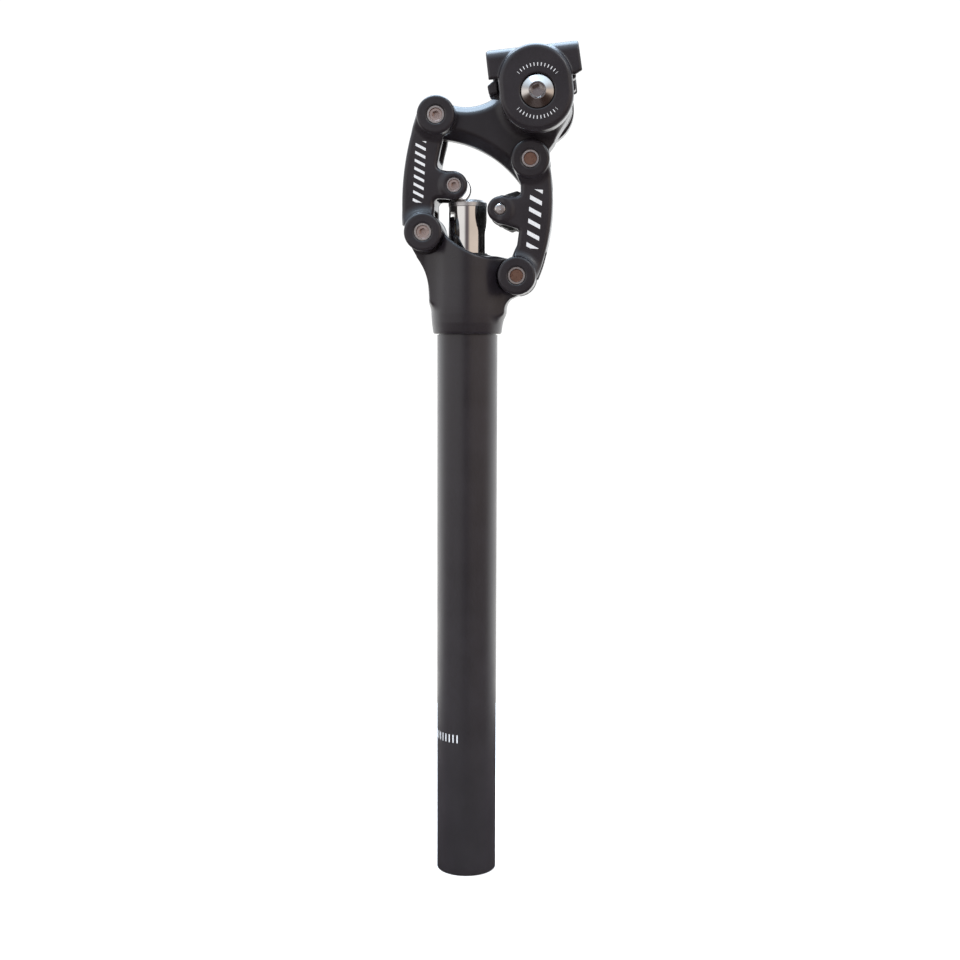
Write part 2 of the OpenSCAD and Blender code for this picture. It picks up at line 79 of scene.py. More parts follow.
def radius(node):
    """Radius of a round CAD node that lies across the post, in mm."""
    low, high = corners(node)
    return (high - low)[0] / 2


JOINTS = {j["name"]: j for j in frame["record"]["behaviour"]["joints"]}


def pivot(joint):
    """A hinge's axis seen from the side, as (x, z) in mm."""
    return np.array(JOINTS[joint]["pos_m"])[[0, 2]] * MM


LL = pivot("front_link_swing")
LR = pivot("rear_link_swing")
UL = pivot("head_pivot")
UR = centre("rear_upper_axle")
ML = pivot("roller_spin")
MR = centre("bumper_pin")
BOLT = pivot("saddle_tilt")

RAIL = next(m for m in frame["record"]["mounts"] if m["name"] == "rail_clamp_far")
TILT = math.atan2(RAIL["axis"][2], RAIL["axis"][0])
RAIL_R = RAIL["dims"]["r_mm"]
RAIL_Y = RAIL["pos_m"][1] * MM
FROM_BOLT = np.array(RAIL["pos_m"])[[0, 2]] * MM - BOLT
RAIL_H = FROM_BOLT[1] * math.cos(TILT) - FROM_BOLT[0] * math.sin(TILT)

TUBE_R = corners("post_tube")[1][0]
TUBE_TOP = corners("post_tube")[1][2]
COLLAR_Z = corners("lower_head")[0][2]
COLLAR_R = corners("lower_head")[1][1]
FORK_OUT = corners("front_link")[1][1]
EYE_HALF = corners("upper_head")[1][1]
JAW_OUT = corners("outer_jaw_far")[1][1]
BAR_OUT = JAW_OUT - 2.1
AXLE_R = radius("front_lower_axle")
ROLLER_AXLE_R = radius("roller_axle")
BUMPER_PIN_R = radius("bumper_pin")

# sizes that repeat part.scad's, in mm, because no box or mount gives them
BOSS_R = 8.4
FORK_IN = 9.0
BAR_FACE = 13.3
LUG_HALF = 8.2
BUSH_WALL = 1.0
EYE_R = 14.4
JAW_R = 15.8
JAW_SPLIT = 19.0
BAR_HALF = 20.0
FAR_REAR = 17.6
NECK_R = TUBE_R - 0.6
BOLT_HOLE_R = 4.1


# --- distance fields ------------------------------------------------------------------------------
# Every field is negative inside the solid. x, y and z are arrays that broadcast together.

def union(a, b, k=0.0):
    """Joins two solids, with a soft fillet about k wide."""
    if k == 0:
        return np.minimum(a, b)
    h = np.maximum(k - np.abs(a - b), 0) / k
    return np.minimum(a, b) - h * h * k / 4


def common(a, b, r=0.0):
    """What two solids share, its new edge rounded to radius r."""
    if r == 0:
        return np.maximum(a, b)
    return np.minimum(np.maximum(a, b), -r) + np.hypot(np.maximum(a + r, 0), np.maximum(b + r, 0))


def cut(a, b, r=0.0):
    """a without b, its new edge rounded to radius r."""
    return common(a, -b, r)


def disc(x, z, c, r):
    """Cylinder across the post."""
    return np.hypot(x - c[0], z - c[1]) - r


def slope(a, b, width):
    """Half-space that bevels the edge between a and b by width on each."""
    return (a + b + width) / math.sqrt(2)


def polygon(points):
    """Field of a closed outline in the plane."""
    p = np.array(points, float)
    edges = list(zip(p, np.roll(p, -1, axis=0)))

    def field(u, v):
        u, v = np.broadcast_arrays(u, v)
        best = np.full(u.shape, 1e9)
        inside = np.zeros(u.shape, bool)
        for (au, av), (bu, bv) in edges:
            du, dv = bu - au, bv - av
            t = np.clip(((u - au) * du + (v - av) * dv) / (du * du + dv * dv), 0, 1)
            best = np.minimum(best, (u - au - t * du) ** 2 + (v - av - t * dv) ** 2)
            if dv:
                inside ^= ((av <= v) != (bv <= v)) & (u < au + (v - av) * du / dv)
        return np.where(inside, -1, 1) * np.sqrt(best)

    return field


def arc(c, r, a, b, n=14):
    """Points along an arc about c from angle a to b, in degrees."""
    t = np.radians(np.linspace(a, b, n + 1))
    return [(c[0] + r * math.cos(s), c[1] + r * math.sin(s)) for s in t]


def rounded(path, steps=6):
    """Closed outline through (u, v, radius) corners."""
    out = []
    for i, (u, v, r) in enumerate(path):
        p = np.array([u, v], float)
        if r == 0:
            out.append(tuple(p))
            continue
        a = np.array(path[i - 1][:2]) - p
        b = np.array(path[(i + 1) % len(path)][:2]) - p
        a, b = a / np.linalg.norm(a), b / np.linalg.norm(b)
        half = math.acos(np.clip(a @ b, -1, 1)) / 2
        mid = p + (a + b) / np.linalg.norm(a + b) * r / math.sin(half)
        s, e = p + a * r / math.tan(half) - mid, p + b * r / math.tan(half) - mid
        a1 = math.degrees(math.atan2(s[1], s[0]))
        turn = (math.degrees(math.atan2(e[1], e[0])) - a1 + 540) % 360 - 180
        out += arc(mid, r, a1, a1 + turn, steps)
    return out


def clamp_axes(x, z):
    """Side-view coordinates in the clamp's own frame: along the rails, and square to them."""
    dx, dz = x - BOLT[0], z - BOLT[1]
    c, s = math.cos(TILT), math.sin(TILT)
    return dx * c + dz * s, dz * c - dx * s


# --- meshing --------------------------------------------------------------------------------------

def surface(field, low, high, step):
    """Quad mesh of a field's zero surface between two corners, in mm."""
    low = np.array(low, float) - 2 * step
    count = np.ceil((np.array(high) + 2 * step - low) / step).astype(int) + 1
    axes = [low[i] + step * np.arange(count[i]) for i in range(3)]
    grid = np.broadcast_to(
        field(axes[0][:, None, None], axes[1][None, :, None], axes[2][None, None, :]), count
    ).astype(np.float32)
    inside = grid < 0

    # one vertex in every cell that the surface crosses, at the mean of its edge crossings
    cells = tuple(count - 1)
    total = np.zeros(cells + (3,), np.float32)
    hits = np.zeros(cells, np.int16)
    offsets = [(0, 0), (0, 1), (1, 0), (1, 1)]
    for axis in range(3):
        a = [slice(None)] * 3
        b = [slice(None)] * 3
        a[axis], b[axis] = slice(None, -1), slice(1, None)
        ga, gb = grid[tuple(a)], grid[tuple(b)]
        crossed = inside[tuple(a)] != inside[tuple(b)]
        t = np.where(crossed, ga / np.where(crossed, ga - gb, 1), 0)
        others = [i for i in range(3) if i != axis]
        for o in offsets:
            s = [slice(None)] * 3
            for i, k in zip(others, o):
                s[i] = slice(k, k + cells[i])
            c = crossed[tuple(s)]
            hits += c
            total[..., axis] += t[tuple(s)] * c
            for i, k in zip(others, o):
                total[..., i] += k * c
    active = hits > 0
    index = np.full(cells, -1, np.int64)
    index[active] = np.arange(active.sum())
    where = np.argwhere(active)
    points = low + step * (where + total[active] / hits[active][:, None])

    # one quad round every grid edge that the surface crosses
    faces = []
    for axis in range(3):
        a = [slice(1, -1)] * 3
        b = [slice(1, -1)] * 3
        a[axis], b[axis] = slice(None, -1), slice(1, None)
        ia, ib = inside[tuple(a)], inside[tuple(b)]
        others = [i for i in range(3) if i != axis]
        for flip, crossed in ((False, ia & ~ib), (True, ~ia & ib)):
            at = np.argwhere(crossed)
            for i in others:
                at[:, i] += 1
            ring = []
            for k0, k1 in ((0, 0), (1, 0), (1, 1), (0, 1)):
                q = at.copy()
                q[:, others[0]] -= k0
                q[:, others[1]] -= k1
                ring.append(index[q[:, 0], q[:, 1], q[:, 2]])
            quad = np.stack(ring, 1)
            if flip != (axis == 1):
                quad = quad[:, ::-1]
            faces.append(quad)
    faces = np.concatenate(faces)

    # settle the vertices on the surface
    h = 0.02
    for _ in range(3):
        x, y, z = points.T
        d = field(x, y, z)
        g = np.stack([
            field(x + h, y, z) - field(x - h, y, z),
            field(x, y + h, z) - field(x, y - h, z),
            field(x, y, z + h) - field(x, y, z - h),
        ], 1) / (2 * h)
        size = np.maximum((g * g).sum(1), 0.25)
        move = -(d / size)[:, None] * g
        points = points + np.clip(move, -step / 2, step / 2)
    return points, faces


def add(name, points, faces, body, nodes, material, sharp=None):
    """Makes a piece from points in mm, riding on a body and standing for CAD nodes."""
    mesh = bpy.data.meshes.new(name)
    mesh.from_pydata((np.asarray(points) / MM).tolist(), [], [list(map(int, f)) for f in faces])
    mesh.validate()
    mesh.polygons.foreach_set("use_smooth", [True] * len(mesh.polygons))
    if sharp:
        mesh.set_sharp_from_angle(angle=math.radians(sharp))
    mesh.materials.append(material)
    piece = bpy.data.objects.new(name, mesh)
    bpy.context.scene.collection.objects.link(piece)
    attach(piece, body)
    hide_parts(*nodes)
    return piece


def forge(node, field, body, material, step=0.4):
    """A piece shaped by a field, in the space of its CAD node."""
    low, high = corners(node)
    points, faces = surface(field, low, high, step)
    return add(node + "_forged", points, faces, body, [node], material)


# --- materials ------------------------------------------------------------------------------------

MARK_COLOUR = (0.8, 0.8, 0.82, 1)
BLACK_TINT = (1.15, 0.86, 1.12)
BLACK_IOR = 1.6


class Shader:
    """Builds one procedural material."""

    def __init__(self, name):
        self.material = bpy.data.materials.new(name)
        self.material.use_nodes = True
        self.tree = self.material.node_tree
        self.bsdf = self.tree.nodes["Principled BSDF"]
        self.coords = self.node("ShaderNodeTexCoord").outputs["Object"]

    def node(self, kind, **settings):
        n = self.tree.nodes.new(kind)
        for key, value in settings.items():
            setattr(n, key, value)
        return n

    def link(self, value, socket):
        if isinstance(value, bpy.types.NodeSocket):
            self.tree.links.new(value, socket)
        else:
            socket.default_value = value

    def math(self, operation, *values):
        n = self.node("ShaderNodeMath", operation=operation)
        for i, value in enumerate(values):
            self.link(value, n.inputs[i])
        return n.outputs[0]

    def axes(self):
        n = self.node("ShaderNodeSeparateXYZ")
        self.link(self.coords, n.inputs[0])
        return n.outputs

    def noise(self, scale, detail=3.0, roughness=0.55, stretch=None):
        """Fractal noise, its grain about 1/scale metres across, stretched along an axis if asked."""
        where = self.coords
        if stretch:
            m = self.node("ShaderNodeMapping")
            m.inputs["Scale"].default_value = stretch
            self.link(where, m.inputs["Vector"])
            where = m.outputs[0]
        n = self.node("ShaderNodeTexNoise")
        n.inputs["Scale"].default_value = scale
        n.inputs["Detail"].default_value = detail
        n.inputs["Roughness"].default_value = roughness
        self.link(where, n.inputs["Vector"])
        return n.outputs["Fac"]

    def span(self, value, low, high, to_low=0.0, to_high=1.0):
        n = self.node("ShaderNodeMapRange")
        self.link(value, n.inputs[0])
        for i, limit in enumerate((low, high, to_low, to_high)):
            self.link(limit, n.inputs[i + 1])
        return n.outputs[0]

    def mix(self, factor, a, b):
        n = self.node("ShaderNodeMix", data_type="RGBA")
        self.link(factor, n.inputs[0])
        self.link(a, n.inputs[6])
        self.link(b, n.inputs[7])
        return n.outputs[2]

    def within(self, value, low, high):
        """1 where value lies between low and high."""
        above = self.math("GREATER_THAN", value, low)
        return self.math("MULTIPLY", above, self.math("LESS_THAN", value, high))

    def painted_edge_highlight(self, start=0.52, full=0.62):
        """1 along raised edges, where a painted highlight goes."""
        return self.span(self.node("ShaderNodeNewGeometry").outputs["Pointiness"], start, full)

    def bump(self, height, distance, strength=1.0):
        n = self.node("ShaderNodeBump")
        n.inputs["Strength"].default_value = strength
        n.inputs["Distance"].default_value = distance
        self.link(height, n.inputs["Height"])
        self.link(n.outputs[0], self.bsdf.inputs["Normal"])

    def set(self, **values):
        names = {
            "color": "Base Color", "metallic": "Metallic", "roughness": "Roughness", "ior": "IOR",
            "specular": "Specular IOR Level",
        }
        for key, value in values.items():
            self.link(value, self.bsdf.inputs[names[key]])


def black_finish(name, level, roughness, grain, marks=None):
    """Satin black finish over metal: fine blasted grain, slow tone changes, painted highlight on raised
    edges.
    """
    s = Shader(name)
    slow = s.noise(60, 4)
    fine = s.noise(grain, 2, 0.6)
    dark = tuple(0.8 * level * v for v in BLACK_TINT) + (1,)
    pale = tuple(1.2 * level * v for v in BLACK_TINT) + (1,)
    n = s.node("ShaderNodeMix", data_type="RGBA", blend_type="MULTIPLY")
    n.inputs[0].default_value = 1.0
    s.link(s.mix(s.span(fine, 0.35, 0.65), dark, pale), n.inputs[6])
    s.link(s.span(slow, 0.3, 0.7, 0.82, 1.2), n.inputs[7])
    # raised edges are mixed towards a paler grey: a painted highlight
    edge_highlight_grey = (2.6 * level,) * 3 + (1,)
    colour = s.mix(s.math("MULTIPLY", s.painted_edge_highlight(), 0.3), n.outputs[2], edge_highlight_grey)
    patches = s.span(slow, 0.3, 0.7, roughness - 0.04, roughness + 0.04)
    rough = s.math("ADD", patches, s.span(fine, 0.3, 0.7, -0.03, 0.03))
    if marks:
        mask = marks(s)
        colour = s.mix(mask, colour, MARK_COLOUR)
        rough = s.math("ADD", rough, s.math("MULTIPLY", mask, 0.1))
    s.set(color=colour, roughness=rough, specular=0.5, ior=BLACK_IOR)
    s.bump(fine, 0.00004, 0.3)
    return s.material


def steel(name, colour, roughness, streak, stretch, bump=0.00001):
    """Bare metal with the fine lines that turning or grinding leaves, stretched along one axis."""
    s = Shader(name)
    lines = s.noise(streak, 3, 0.6, stretch)
    cloud = s.noise(90, 3)
    dark = tuple(0.86 * v for v in colour[:3]) + (1,)
    tone = s.mix(s.span(cloud, 0.3, 0.7), dark, colour)
    grooves = s.span(lines, 0.3, 0.7, roughness * 0.75, roughness * 1.25)
    rough = s.math("ADD", grooves, s.span(cloud, 0.35, 0.65, 0, 0.03))
    s.set(color=tone, metallic=1.0, roughness=rough)
    s.bump(lines, bump, 0.3)
    return s.material


def soft(name, colour, roughness, grain):
    """Rubber or moulded plastic with a fine matte grain."""
    s = Shader(name)
    fine = s.noise(grain, 3, 0.6)
    slow = s.noise(120, 3)
    dark = tuple(0.7 * v for v in colour[:3]) + (1,)
    tone = s.mix(s.span(slow, 0.3, 0.7), dark, colour)
    s.set(color=tone, roughness=s.span(fine, 0.3, 0.7, roughness - 0.08, roughness + 0.08))
    s.bump(fine, 0.00005, 0.5)
    return s.material


def bar_marks(start, end, width, pitch):
    """Slanted dashes printed along a link's near face, between two side-view points in mm."""
    start, end = np.array(start) / MM, np.array(end) / MM
    length = np.linalg.norm(end - start)
    along = (end - start) / length
    half = width / MM / 2
    slant_of_dash, inked = 0.45, 0.36

    def along_and_across(s, dx, dz):
        u = s.math("ADD", s.math("MULTIPLY", dx, float(along[0])), s.math("MULTIPLY", dz, float(along[1])))
        down = s.math("MULTIPLY", dz, float(along[0]))
        return u, s.math("SUBTRACT", s.math("MULTIPLY", dx, float(along[1])), down)

    def mask(s):
        x, y, z = s.axes()
        dx = s.math("SUBTRACT", x, float(start[0]))
        dz = s.math("SUBTRACT", z, float(start[1]))
        u, v = along_and_across(s, dx, dz)
        slant = s.math("ADD", u, s.math("MULTIPLY", v, slant_of_dash))
        phase = s.math("FRACT", s.math("DIVIDE", s.math("ADD", slant, 1.0), pitch / MM))
        bars = s.within(phase, 0.0, inked)
        box = s.math("MULTIPLY", s.within(u, 0.0, float(length)), s.within(v, -half, half))
        near = s.math("LESS_THAN", y, -(BAR_FACE - 0.5) / MM)
        return s.math("MULTIPLY", s.math("MULTIPLY", bars, box), near)

    return mask


def disc_marks(s):
    """Dashes printed in two arcs round the clamp bolt, above and below it, on the near jaw."""
    inner, outer = 0.0103, 0.0117
    pitch, reach = math.radians(8), math.radians(48)
    x, y, z = s.axes()
    dx = s.math("SUBTRACT", x, float(BOLT[0] / MM))
    dz = s.math("SUBTRACT", z, float(BOLT[1] / MM))
    r = s.math("SQRT", s.math("ADD", s.math("MULTIPLY", dx, dx), s.math("MULTIPLY", dz, dz)))
    angle = s.math("ARCTAN2", dx, s.math("ABSOLUTE", dz))
    # half a pitch puts a dash in the middle of each arc, and 40 whole ones keep the angle positive
    dash = s.within(s.math("FRACT", s.math("ADD", s.math("DIVIDE", angle, pitch), 40.5)), 0.4, 0.62)
    band = s.math("MULTIPLY", s.within(r, inner, outer), s.within(angle, -reach, reach))
    near = s.math("LESS_THAN", y, -(JAW_OUT - 0.5) / MM)
    return s.math("MULTIPLY", s.math("MULTIPLY", dash, band), near)


def depth_marks(s):
    """Row of short upright ticks round part of the tube, the shallowest it may be set in the frame."""
    low, high = 0.0625, 0.0662
    pitch = math.radians(8.5)
    x, y, z = s.axes()
    angle = s.math("ARCTAN2", y, x)
    tick = s.within(s.math("FRACT", s.math("DIVIDE", s.math("ADD", angle, 10.0), pitch)), 0.0, 0.28)
    sector = s.within(angle, -math.radians(205), -math.radians(98))
    return s.math("MULTIPLY", s.math("MULTIPLY", tick, sector), s.within(z, low, high))


FRONT_MARKS = bar_marks((-21.0, 305.5), (-19.6, 332.0), 4.6, 3.4)
REAR_MARKS = bar_marks((29.4, 285.5), (31.2, 311.0), 5.4, 5.1)
BLACK_TUBE = black_finish("tube_satin_black", 0.016, 0.34, 9000, depth_marks)
BLACK_FORGED = black_finish("forged_satin_black", 0.014, 0.33, 5200)
BLACK_FRONT = black_finish("front_link_satin_black", 0.014, 0.32, 5200, FRONT_MARKS)
BLACK_REAR = black_finish("rear_link_satin_black", 0.014, 0.32, 5200, REAR_MARKS)
BLACK_JAW = black_finish("jaw_satin_black", 0.014, 0.31, 6500)
BLACK_DISC = black_finish("near_jaw_satin_black", 0.014, 0.31, 6500, disc_marks)
AXLE_STEEL = steel("axle_turned_steel", (0.88, 0.84, 0.82, 1), 0.22, 900, (1, 6, 1))
SCREW_PALE = steel("screw_nickelled_steel", (0.8, 0.66, 0.62, 1), 0.3, 1200, (1, 6, 1))
# the rear axle screws are the front screws' steel made darker and warmer: painted shade
SCREW_PAINTED_SHADE = steel("screw_steel_painted_shade", (0.42, 0.25, 0.19, 1), 0.3, 1200, (1, 6, 1))
BOLT_STEEL = steel("bolt_polished_steel", (0.72, 0.69, 0.67, 1), 0.16, 900, (1, 6, 1))
CHROME = steel("piston_hard_chrome", (0.8, 0.79, 0.78, 1), 0.05, 700, (1, 1, 12), bump=0.000002)
CAP_STEEL = steel("cap_satin_steel", (0.8, 0.78, 0.78, 1), 0.36, 1500, (1, 1, 6))
SPRING_STEEL = steel("spring_oiled_steel", (0.22, 0.22, 0.23, 1), 0.35, 800, (1, 1, 4))
BRONZE = steel("bush_sintered_bronze", (0.5, 0.33, 0.16, 1), 0.42, 2500, (1, 1, 1))
RUBBER = soft("rubber_black", (0.018, 0.018, 0.018, 1), 0.62, 4000)
ELASTOMER = soft("elastomer_green", (0.1, 0.14, 0.1, 1), 0.55, 3000)
PLASTIC = soft("plastic_black_moulded", (0.03, 0.03, 0.031, 1), 0.5, 5000)


# --- forged links ---------------------------------------------------------------------------------

FRONT_BACK = ((91.02, 304.53), 119.2)
REAR_BACK = ((-48.32, 306.05), 86.4)
CLIMB = 1.5

front_bar = polygon(
    arc(*FRONT_BACK, 160.9, 184.2, 28) + rounded([
        (LL[0] + 2, LL[1] - 4, 0), (-14.1, 298, 0), (-14.0, 307.4, 2.2), (-6, 307.1, 0), (ML[0], ML[1], 0),
        (-4.6, 318.6, 0), (-12.9, 320.2, 2.4), (-10.2, 333, 0), (UL[0] + 4, UL[1] - 2, 0),
    ]))
front_web = polygon([
    (-40, 302.7), (-12, 302.7), (-12, 306), (-15.4, 309), (-15.6, 317.5), (-12, 319.6), (-5, 319.6),
    (-5, 323.8), (-12.6, 323.8), (-13.4, 326.5), (-19, 333), (-40, 333),
])

rear_bar = polygon(
    arc(*REAR_BACK, -22.5, 10.8, 28) + rounded([
        (UR[0] + 6, UR[1] + 5, 0), (UR[0] - 7, UR[1] - 2, 0), (21.6, 319, 0), (24.2, 313.4, 0),
        (24, 308.2, 1.8), (MR[0] + 0.5, MR[1] + 5.8, 0), (MR[0], MR[1], 0), (MR[0] - 1, MR[1] - 5.8, 0),
        (23.5, 293.9, 1.6), (22.6, 287, 0), (20.2, 281, 0), (LR[0] - 5, LR[1] - 3, 0),
    ]))
rear_web = polygon([(60, 284.5), (32.4, 285), (31, 296), (31.6, 308), (34, 312), (60, 312)])


def fork(bar, web, bosses, nose, nose_r, nose_out, nose_hole, shoulder):
    """A forked link: two plates joined by a web along the back, with proud bosses and a short arm."""

    def field(x, y, z):
        side = np.abs(y)
        outline = bar(x, z)
        solid = common(outline, side - BAR_FACE, 1.7)
        solid = union(solid, common(disc(x, z, nose, nose_r), side - nose_out, 1.5), 1.6)
        for c in bosses:
            d = disc(x, z, c, 0)
            # the bar's face climbs a short slope to the boss
            ramp = (d + CLIMB * (side - BAR_FACE) - shoulder) / math.hypot(1, CLIMB)
            ramp = common(common(ramp, outline, 1.2), side - (FORK_OUT - 0.9), 0.8)
            solid = union(solid, np.maximum(ramp, FORK_IN + 1.5 - side), 0.8)
            solid = union(solid, common(d - BOSS_R, side - FORK_OUT, 1.15), 0.5)
        gap = common(side - FORK_IN, -web(x, z), 1.2)
        solid = cut(solid, gap, 0.5)
        for c in bosses:
            solid = cut(solid, disc(x, z, c, AXLE_R), 0.25)
        return cut(solid, disc(x, z, nose, nose_hole), 0.25)

    return field


forge("front_link", fork(front_bar, front_web, (UL, LL), ML, 5.9, BAR_FACE + 0.7, ROLLER_AXLE_R, 10.9),
      "front_link", BLACK_FRONT)
forge("rear_link", fork(rear_bar, rear_web, (UR, LR), MR, 5.8, BAR_FACE, BUMPER_PIN_R, 10.4),
      "rear_link", BLACK_REAR)


bumper_side = polygon(rounded([(MR[0] + dx, MR[1] + dz, r) for dx, dz, r in (
    (-3.6, 4, 0), (-0.9, 5.5, 0), (3.1, 7.1, 0.8), (7.1, 8.3, 0.6), (8.6, 7.7, 0.5), (10.3, 5, 1),
    (10.3, -4, 1), (8, -7.5, 0.8), (4.4, -8.9, 1), (1, -7.3, 0), (-3.6, -4, 0))]))


def bumper(x, y, z):
    block = union(disc(x, z, MR, 5.35), bumper_side(x, z), 0.6)
    block = common(block, np.abs(y) - 8.6, 0.7)
    return cut(block, disc(x, z, MR, BUMPER_PIN_R), 0.2)


forge("bottom_out_bumper", bumper, "rear_link", RUBBER)


# --- heads ----------------------------------------------------------------------------------------

ARCH = ((-15.58, 285.54), 48.5)
HEAD_TOP = ((-0.46, 369.86), 21.96)
LIP = ((15.84, 316.91), 35.5)
FRONT_NECK = ((-47.61, 263.19), 31.6)
REAR_NECK = ((22.2, 258.6), 5.4)
EYE_NECK = ((47, 322), 10.4)
COLLAR_TOP = 292.4
CUP_FLOOR = 281
CUP_R = 13.4
SEAL_TOP = 283.4
SEAL_R = 11.6
PISTON_WAY_R = 10.3
GUIDE_R = 10.2

head_side = polygon([
    (UL[0] - 1, UL[1] + 8), (6, 351), (BOLT[0] - 9, BOLT[1] + 11), (BOLT[0] + 4, BOLT[1] + 3),
    (BOLT[0] + 12, BOLT[1] - 4), (38.6, 332), (36.4, 329), (UR[0] + 8, UR[1]), (UR[0] + 2, UR[1] - 8),
    (24.4, 312.6), (19.5, 313), (-12, 325), (UL[0] - 6, UL[1] - 6),
])


def upper_head(x, y, z):
    side = np.abs(y)
    under = -disc(x, z, *ARCH)
    top = -disc(x, z, *HEAD_TOP)
    outline = common(common(head_side(x, z), under, 1.0), top, 2.0)
    outline = cut(outline, disc(x, z, *EYE_NECK), 1.0)
    arm = common(outline, side - LUG_HALF, 1.2)
    arm = common(arm, slope(under, side - LUG_HALF, 4.6), 0.7)
    arm = common(arm, slope(top, side - LUG_HALF, 3.4), 0.9)
    solid = arm
    for c in (UL, UR):
        solid = union(solid, common(disc(x, z, c, BOSS_R - 0.2), side - LUG_HALF, 0.5), 1.0)
    eye = common(disc(x, z, BOLT, EYE_R), side - EYE_HALF, 0.9)
    solid = union(solid, eye, 6.0)
    solid = common(solid, side - EYE_HALF, 0.5)
    for c in (UL, UR):
        solid = cut(solid, common(disc(x, z, c, BOSS_R + 0.6), LUG_HALF - side, 0.4), 0.5)
        solid = cut(solid, disc(x, z, c, AXLE_R + BUSH_WALL), 0.3)
    return cut(solid, disc(x, z, BOLT, BOLT_HOLE_R), 0.4)


collar_profile = polygon(
    [(-5, COLLAR_Z), (COLLAR_R - 1.4, COLLAR_Z)]
    + arc((COLLAR_R - 1.9, COLLAR_Z + 1.0), 1.0, -80, -8, 6)
    + [(COLLAR_R - inset, COLLAR_Z + rise) for inset, rise in (
        (0.35, 5), (0.1, 9), (0.02, 12), (0.02, 20), (0.12, 26))]
    + [(COLLAR_R - 0.12, COLLAR_TOP), (-5, COLLAR_TOP)])
lower_side = polygon([
    (-16, 262), (-30, 262), (-30, 275), (-22.7, 282.6), (LL[0] - 8, LL[1] - 1.4), (LL[0], LL[1] + 8),
    (LL[0] + 9, LL[1]), (-8, 284), (12, 282), (LR[0], LR[1] + 8), (LR[0] + 7, LR[1]),
    (LR[0] + 0.6, LR[1] - 8.1), (19.6, 263.3), (21, 259), (14, 256),
])
lug_keep = polygon([
    (LL[0] - 10, LL[1] - 4), tuple(LL), (LL[0] + 8.4, LL[1] - 1.5), (-12, CUP_FLOOR), (-30, 270),
])


def lower_head(x, y, z):
    side, r = np.abs(y), np.hypot(x, y)
    body = collar_profile(r, z)
    body = cut(body, disc(x, z, *LIP), 1.3)
    for c, room in ((LL, 0.8), (LR, 0.6)):
        body = cut(body, common(disc(x, z, c, BOSS_R + room), LUG_HALF + 0.3 - side, 0.3), 0.7)
    body = cut(body, common(r - CUP_R, CUP_FLOOR - z, 0.8), 0.7)
    lugs = common(lower_side(x, z), -disc(x, z, *FRONT_NECK), 1.0)
    lugs = common(lugs, -disc(x, z, *REAR_NECK), 1.0)
    lip = common(disc(x, z, *LIP), -lug_keep(x, z), 0.5)
    lugs = cut(lugs, lip, 0.8)
    for c in (LL, LR):
        lugs = union(lugs, disc(x, z, c, BOSS_R - 0.2), 0.6)
    lugs = common(lugs, side - LUG_HALF, 0.6)
    solid = union(body, lugs, 4.5)
    solid = cut(solid, common(r - PISTON_WAY_R, CUP_FLOOR - z, 0.3), 0.5)
    solid = cut(solid, common(common(r - SEAL_R, CUP_FLOOR - z, 0.1), z - SEAL_TOP, 0.1), 0.2)
    for c, room in ((LL, 0.8), (LR, 0.6)):
        solid = cut(solid, common(disc(x, z, c, BOSS_R + room), LUG_HALF - side, 0.3), 0.4)
        solid = cut(solid, disc(x, z, c, AXLE_R + BUSH_WALL), 0.3)
    solid = cut(solid, common(r - NECK_R, z - TUBE_TOP, 0.2), 0.3)
    return cut(solid, r - GUIDE_R, 0.2)


forge("upper_head", upper_head, "head", BLACK_FORGED)
forge("lower_head", lower_head, "post", BLACK_FORGED)


# --- saddle clamp ---------------------------------------------------------------------------------

PAD_IN = 12.5


def rail_seat(u, y, h):
    """The rail's space, along the jaws."""
    return np.hypot(y - RAIL_Y, h - RAIL_H) - RAIL_R + 0 * u


bar_side = polygon([
    (-BAR_HALF - 0.3, 7.2), (-BAR_HALF - 0.5, 18.9), (-BAR_HALF + 1, 21.4), (BAR_HALF - 2, 21.4),
    (BAR_HALF - 0.9, 20), (BAR_HALF - 0.3, 6.9), (BAR_HALF - 3.8, 5.2), (BAR_HALF - 6, 7.2),
])


def outer_jaw(side):
    def field(x, y, z):
        u, h = clamp_axes(x, z)
        y = y * side
        rise = np.clip(h, -0.9, 4.3)
        puck = np.hypot(u + 0.5, h - rise) - JAW_R
        puck = common(common(puck, y - JAW_OUT, 2.2), JAW_SPLIT + 0.15 - y, 0.4)
        bar = common(y - BAR_OUT, h - (RAIL_H + 7.7), 4.6)
        bar = common(bar, 17.4 - y, 1.5)
        bar = common(bar, bar_side(u, h), 0.9)
        if side > 0:
            bar = cut(bar, FAR_REAR - u, 0.6)
        bar = cut(bar, common(y - 24.9, h - 16.2, 0.3), 0.4)
        solid = union(puck, bar, 0.8)
        slot = common(common(y - (RAIL_Y - 0.3), JAW_SPLIT - 4 - y), np.abs(h - RAIL_H) - RAIL_R - 0.15)
        solid = cut(solid, np.minimum(rail_seat(u, y, h), slot), 0.3)
        solid = cut(solid, np.hypot(u, h) - BOLT_HOLE_R, 0.2)
        seat = common(np.hypot(u, h) - 7.35, JAW_OUT - 2.2 - y)
        return cut(solid, seat, 0.45)

    return field


JAW_TIP = [(-18.8, 6.7, 0.6), (-21.2, 5, 0.9), (-20.8, 1.1, 0.8)]
jaw_cheek = polygon(rounded([(-10, 6.7, 0)] + JAW_TIP + [(-10, -1, 0)]))
jaw_ear = polygon(rounded([(-17, 1.9, 0.4), (-17, 6.7, 0.4)] + JAW_TIP))


